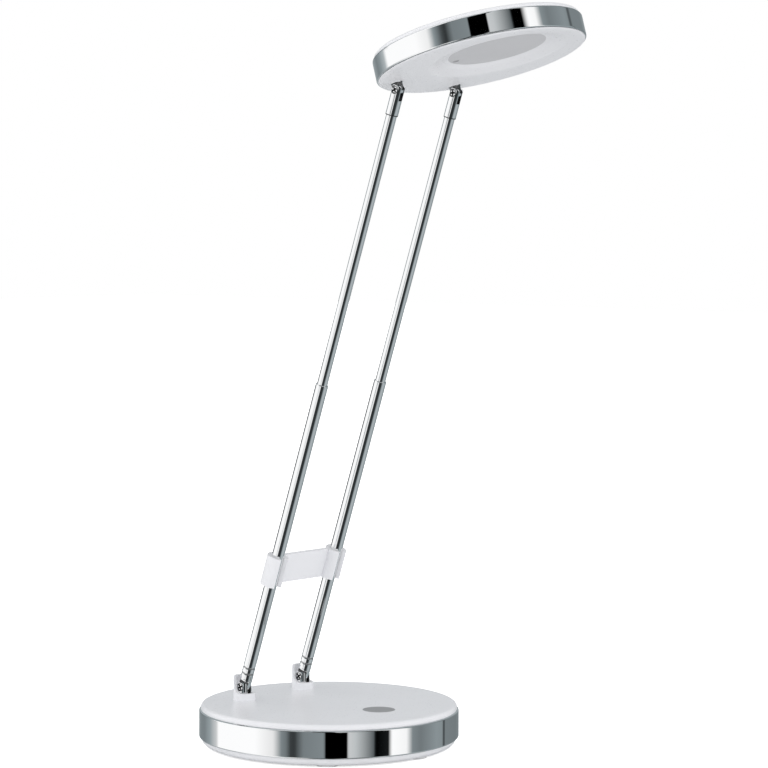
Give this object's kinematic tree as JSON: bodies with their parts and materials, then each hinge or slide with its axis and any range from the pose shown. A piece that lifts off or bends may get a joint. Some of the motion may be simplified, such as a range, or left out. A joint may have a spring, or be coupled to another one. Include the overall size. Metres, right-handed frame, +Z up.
{
  "type": "desk lamp",
  "caption": "Desk lamp with a round weighted touch base, a pair of tilting telescopic rods and a flat round tilting LED head.",
  "frame": {"origin": "middle of the round base, on the surface that the feet stand on", "axes": "+Z up, -Y towards the front where the head reaches, +X along the hinge pins"},
  "size_m": [0.145, 0.2319, 0.405],
  "materials": {
    "white_gloss": "glossy white moulding",
    "white_clip": "soft white moulding",
    "chrome": "bright chrome plate",
    "zinc_steel": "zinc plated",
    "ballast": "bare cast iron",
    "rubber": "pale soft rubber",
    "touch_grey": "satin grey",
    "foam": "conductive foam",
    "circuit_board": "white solder mask",
    "socket_black": "black moulding",
    "brass": "plain brass",
    "lead_sleeve": "wire sleeve",
    "diffuser": "frosted acrylic",
    "led": "phosphor yellow",
    "aluminium": "bare sheet"
  },
  "bodies": {
    "base": {"base_cover": "white_gloss", "base_band": "chrome", "base_pan": "white_gloss", "rubber_feet": "rubber", "base_screws": "zinc_steel", "ballast_plate": "ballast", "touch_pad": "touch_grey", "touch_foam": "foam", "touch_board": "circuit_board", "board_screws": "zinc_steel", "dc_socket": "socket_black", "base_leads": "lead_sleeve", "fork_tags": "brass", "fork_nuts": "zinc_steel", "base_fork_left": "chrome", "base_fork_right": "chrome", "base_hinge_screws": "chrome"},
    "lower_rods": {"lower_plug_left": "chrome", "lower_plug_right": "chrome", "lower_tube_left": "chrome", "lower_tube_right": "chrome"},
    "clip": {"rod_clip": "white_clip"},
    "upper_rods": {"upper_tube_left": "chrome", "upper_tube_right": "chrome", "contact_bush_left": "brass", "contact_bush_right": "brass", "upper_fork_left": "chrome", "upper_fork_right": "chrome", "head_hinge_screws": "chrome"},
    "head": {"head_tongue_left": "chrome", "head_tongue_right": "chrome", "head_face": "white_gloss", "head_band": "chrome", "head_cap": "white_gloss", "diffuser": "diffuser", "led_board": "circuit_board", "leds": "led", "heat_sink": "aluminium", "heat_sink_screws": "zinc_steel", "head_leads": "lead_sleeve", "tongue_tags": "brass", "tongue_nuts": "zinc_steel"}
  },
  "joints": [
    {"name": "arm_tilt", "type": "hinge", "parent": "base", "child": "lower_rods", "pos_m": [0, 0.0414, 0.0308], "axis": [1, 0, 0], "range_deg": [-18.4, 60]},
    {"name": "arm_extend", "type": "slide", "parent": "lower_rods", "child": "upper_rods", "axis": [0, -0.3156, 0.9489], "range_m": [-0.145, 0]},
    {"name": "clip_slide", "type": "slide", "parent": "lower_rods", "child": "clip", "axis": [0, -0.3156, 0.9489], "range_m": [-0.045, 0.095]},
    {"name": "head_tilt", "type": "hinge", "parent": "upper_rods", "child": "head", "pos_m": [0, -0.0686, 0.36148], "axis": [1, 0, 0], "range_deg": [-30, 60]}
  ]
}
